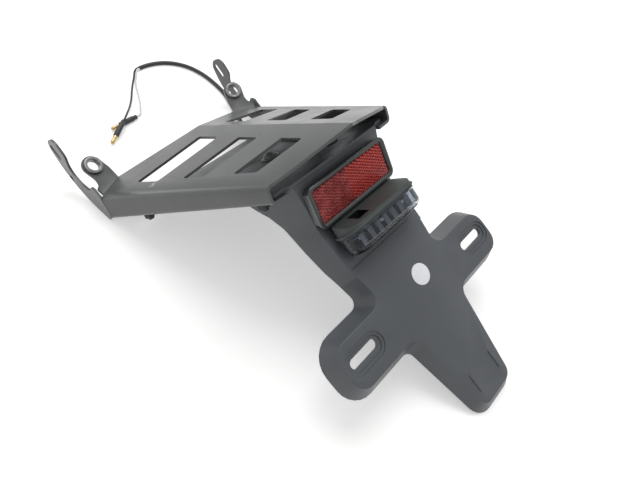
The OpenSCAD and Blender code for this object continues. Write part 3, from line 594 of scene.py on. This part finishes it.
# corner cubes on a three-way lattice: every third point is a cube's inner corner
def makePrisms():
    step = cubes["pitch"] / math.sqrt(3) * mm
    columns, rows = cubes["columns"], cubes["rows"]
    bpy.ops.mesh.primitive_grid_add(x_subdivisions=columns, y_subdivisions=rows, size=2)
    prisms = newPiece("lensPrisms")
    rise = (cubes["front"] - cubes["back"]) * mm / 2
    for vertex in prisms.data.vertices:
        i = round((vertex.co.x + 1) / 2 * columns)
        j = round((vertex.co.y + 1) / 2 * rows)
        across = (i - columns / 2 - (j - rows / 2) / 2) * step
        along = (j - rows / 2) * step * math.sqrt(3) / 2
        vertex.co = (across, along, cubes["back"] * mm + rise * ((i + j) % 3))
    pick(prisms)
    bpy.ops.object.mode_set(mode="EDIT")
    bpy.ops.mesh.select_all(action="SELECT")
    bpy.ops.mesh.quads_convert_to_tris(quad_method="SHORTEST_DIAGONAL")
    wide = cubes["lensWide"] * mm / 2 - cubes["inset"] * mm
    tall = cubes["lensTall"] * mm / 2 - cubes["inset"] * mm
    cut = cubes["corner"] * mm
    planes = [((wide, 0), (1, 0)), ((-wide, 0), (-1, 0)), ((0, tall), (0, 1)), ((0, -tall), (0, -1))]
    planes += [((x * (wide - cut), y * tall), (x, y)) for y in (1, -1) for x in (1, -1)]
    for place, away in planes:
        bpy.ops.mesh.select_all(action="SELECT")
        bpy.ops.mesh.bisect(plane_co=(*place, 0), plane_no=(*away, 0), clear_outer=True)
    bpy.ops.object.mode_set(mode="OBJECT")
    return prisms


# painted highlight and painted shade: the facets of each cube that face away from the towards direction are
# painted bright, the others dark, and the lens's left part is duller
def paintPrisms(prisms, finishes):
    for finish in finishes[1:]:
        prisms.data.materials.append(finish)
    for facet in prisms.data.polygons:
        facing = facet.normal.x * cubes["towards"][0] + facet.normal.y * cubes["towards"][1]
        dull = facet.center.x <= cubes["dullLeftOf"] * mm
        facet.material_index = (2 if dull else 0) + (0 if facing < cubes["paintedLitBelow"] else 1)


cubeFinishes = [finishOf(name, look) for name, look in cubeLooks.items()]
prisms = dress(makePrisms(), cubeFinishes[0], ())
paintPrisms(prisms, cubeFinishes)
prisms.data.transform(reflectorPlace)
print("reflector made")


# number plate light: hood with painted shade in the pocket in its top, smoky clear cover, board and lamps

hoodLook = {
    "colour": (0.034, 0.042, 0.04), "second": (0.041, 0.05, 0.048), "patch": 14,
    "roughness": (0.5, 0.6), "grain": [(0.8, 0.008)],
    "dust": {"from": 0.75, "colour": (0.2, 0.2, 0.19)},
    "ease": 0.3}
# painted shade: the pocket's walls and floor are painted near black, with no shine, standing in for the shade
# inside the recess
hoodPocketPaintedShade = {
    "low": (-21, -3.5, -12), "high": (-10, 7.5, -4), "near": 0.35,
    "look": {"colour": (0.006, 0.006, 0.006), "second": (0.01, 0.01, 0.009), "patch": 3,
             "roughness": (0.8, 0.95), "sockets": {"Specular IOR Level": 0.0}}}
fromLight = lightPlace.inverted()


# in the pocket's box, and close to one of its walls or its floor, which get the painted shade
def inPaintedShadePocket(face):
    spot = fromLight @ face.center / mm
    low, high, near = hoodPocketPaintedShade["low"], hoodPocketPaintedShade["high"], hoodPocketPaintedShade["near"]
    within = all(a - near < v < b + near for a, v, b in zip(low, spot, high))
    gaps = (spot.x - low[0], spot.x - high[0], spot.y - low[1], spot.z - high[2])
    return within and min(abs(gap) for gap in gaps) < near


hood = dressedNode("light_hood", "lightHood", "hoodPlastic", hoodLook)
# the pocket's faces get the painted shade
repaint(hood, finishOf("pocketPaintedShade", hoodPocketPaintedShade["look"]), inPaintedShadePocket)

coverLook = {"colour": (0.5, 0.53, 0.57), "roughness": 0.04, "ior": 1.3,
             "ripple": {"size": 14, "depth": 0.01, "detail": 1.0},
             "ease": 0}  # eased edges made the clear cover grainy
cover = easedCopy("light_cover", "lightCover", coverLook["ease"])
dress(cover, clearPlastic("coverClear", coverLook), ["light_cover"])

boardLook = {
    "colour": (0.2, 0.22, 0.25), "second": (0.13, 0.145, 0.17), "patch": 6, "roughness": (0.3, 0.45),
    "ease": 0.15}
lampLook = {
    "colour": (0.8, 0.82, 0.85), "second": (0.7, 0.73, 0.78), "patch": 3, "roughness": (0.15, 0.3),
    "ease": 0.15}
dressedNode("light_board", "lightBoard", "boardFinish", boardLook)
dressedNode("light_lamps", "lightLamps", "lampFinish", lampLook)

# each step of the cup takes the last edge in by a factor and down by a drop
lampCup = {
    "rim": 4.6, "radius": 7.6, "sides": 40, "steps": [(0.86, 0), (0.62, -2.2), (0.85, 0)],
    "wall": 0.3, "ease": 0.08, "shifts": (-22, 22), "halfRoom": 9, "smooth": 30,
    "look": {"colour": (0.5, 0.52, 0.55), "second": (0.4, 0.42, 0.45), "patch": 4, "metallic": 0.9,
             "roughness": (0.15, 0.28), "grain": [(0.6, 0.004)]}}


# stepped reflector cup round the middle lamp, copied to the other two
def makeCups():
    bpy.ops.mesh.primitive_circle_add(vertices=lampCup["sides"], radius=lampCup["radius"] * mm,
                                      location=(0, 0, lampCup["rim"] * mm), fill_type="NOTHING")
    cups = newPiece("lampCups")
    applyPlace(cups)
    bpy.ops.object.mode_set(mode="EDIT")
    bpy.ops.mesh.select_all(action="SELECT")
    for factor, drop in lampCup["steps"]:
        bpy.ops.mesh.extrude_edges_move(TRANSFORM_OT_translate={"value": (0, 0, drop * mm)})
        bpy.ops.transform.resize(value=(factor, factor, 1))
    bpy.ops.mesh.select_all(action="SELECT")
    bpy.ops.mesh.normals_make_consistent(inside=False)
    bpy.ops.object.mode_set(mode="OBJECT")
    wall = cups.modifiers.new("wall", "SOLIDIFY")
    wall.thickness = lampCup["wall"] * mm
    wall.offset = 0
    addEase(cups, lampCup["ease"])
    applyModifiers(cups)
    for shift in lampCup["shifts"]:
        selectFaces(cups, lambda face: abs(face.center.x) < lampCup["halfRoom"] * mm)
        bpy.ops.mesh.duplicate_move(TRANSFORM_OT_translate={"value": (shift * mm, 0, 0)})
    bpy.ops.object.mode_set(mode="OBJECT")
    applyPlace(cups, lightPlace)
    smoothBy(cups, lampCup["smooth"])
    return cups


dress(makeCups(), finishOf("cupFinish", lampCup["look"]), ())

flute = {
    "first": -28, "last": 28, "pitch": 8.0, "wide": 4.4, "deep": 0.9, "low": 2.9, "high": 11.2,
    "wall": 9.7, "sides": 20, "ease": 0.15, "smooth": 30,
    "look": {"colour": (0.23, 0.25, 0.27), "second": (0.16, 0.18, 0.21), "patch": 7,
             "roughness": (0.4, 0.5)}}


# upright flutes behind the clear cover's rear wall
def makeFlutes():
    tall = flute["high"] - flute["low"]
    bpy.ops.mesh.primitive_cylinder_add(vertices=flute["sides"], radius=1, depth=1,
                                        location=(flute["first"] * mm, flute["wall"] * mm,
                                                  (flute["low"] + tall / 2) * mm))
    flutes = newPiece("coverFlutes")
    flutes.scale = (flute["wide"] / 2 * mm, flute["deep"] * mm, tall * mm)
    applyPlace(flutes)
    bpy.ops.object.mode_set(mode="EDIT")
    bpy.ops.mesh.select_all(action="SELECT")
    bpy.ops.mesh.bisect(plane_co=(0, flute["wall"] * mm, 0), plane_no=(0, 1, 0),
                        clear_outer=True, use_fill=True)
    bpy.ops.object.mode_set(mode="OBJECT")
    addEase(flutes, flute["ease"])
    row = flutes.modifiers.new("row", "ARRAY")
    row.use_relative_offset = False
    row.use_constant_offset = True
    row.constant_offset_displace = (flute["pitch"] * mm, 0, 0)
    row.count = round((flute["last"] - flute["first"]) / flute["pitch"]) + 1
    applyModifiers(flutes)
    applyPlace(flutes, lightPlace)
    smoothBy(flutes, flute["smooth"])
    return flutes


dress(makeFlutes(), finishOf("fluteSmoke", flute["look"]), ())
print("light made")


# floor, world and lamp, in metres

floorPaper = {
    "size": 1.7, "place": (0.05, 0.05, 0), "colour": (0.93, 0.93, 0.925), "roughness": 0.9, "shine": 0.1,
    "glow": 0.4, "glowColour": (1, 1, 0.995)}
studioWorld = {"colour": (1, 1, 1), "light": 0.5, "seen": 0.97}
keyLamp = {"place": (0.5, 0.5, 1.7), "aim": (0, 0.02, 0.05), "size": 1.4, "power": 16}


# one shader for rays that see the backdrop, from the camera, gloss or clear plastic, one for the rest
def seenOrNot(owner, unseen, seen):
    path = addNode(owner, "ShaderNodeLightPath")
    mask = path.outputs["Is Camera Ray"]
    for ray in ("Is Glossy Ray", "Is Transmission Ray"):
        either = addNode(owner, "ShaderNodeMath", operation="MAXIMUM")
        link(owner, mask, either.inputs[0])
        link(owner, path.outputs[ray], either.inputs[1])
        mask = either.outputs["Value"]
    choice = addNode(owner, "ShaderNodeMixShader")
    link(owner, mask, choice.inputs["Fac"])
    link(owner, unseen.outputs[0], choice.inputs[1])
    link(owner, seen.outputs[0], choice.inputs[2])
    return choice


def makeFloor():
    bpy.ops.mesh.primitive_plane_add(size=floorPaper["size"], location=floorPaper["place"])
    floor = newPiece("studioFloor")
    material, shader = plainMaterial("floorPaper", floorPaper["colour"], floorPaper["roughness"])
    shader.inputs["Specular IOR Level"].default_value = floorPaper["shine"]
    none = addNode(material, "ShaderNodeEmission", strength=0)
    glow = addNode(material, "ShaderNodeEmission", color=(*floorPaper["glowColour"], 1),
                   strength=floorPaper["glow"])
    lifted = seenOrNot(material, none, glow)
    both = addNode(material, "ShaderNodeAddShader")
    link(material, shader.outputs[0], both.inputs[0])
    link(material, lifted.outputs[0], both.inputs[1])
    link(material, both.outputs[0], material.node_tree.nodes["Material Output"].inputs["Surface"])
    floor.data.materials.append(material)


def makeWorld():
    world = bpy.data.worlds.new("studioWorld")
    scene.world = world
    world.use_nodes = True
    colour = (*studioWorld["colour"], 1)
    light = world.node_tree.nodes["Background"]
    light.inputs["Color"].default_value = colour
    light.inputs["Strength"].default_value = studioWorld["light"]
    seen = addNode(world, "ShaderNodeBackground", color=colour, strength=studioWorld["seen"])
    mix = seenOrNot(world, light, seen)
    link(world, mix.outputs[0], world.node_tree.nodes["World Output"].inputs["Surface"])


def softLamp(name, lamp):
    data = bpy.data.lights.new(name, "AREA")
    data.shape = "DISK"
    data.size = lamp["size"]
    data.energy = lamp["power"]
    source = bpy.data.objects.new(name, data)
    scene.collection.objects.link(source)
    source.location = lamp["place"]
    source.rotation_euler = (Vector(lamp["aim"]) - Vector(lamp["place"])).to_track_quat("-Z", "Y").to_euler()


makeFloor()
makeWorld()
softLamp("keyLamp", keyLamp)
scene.view_settings.view_transform = "Standard"
print("stage made")
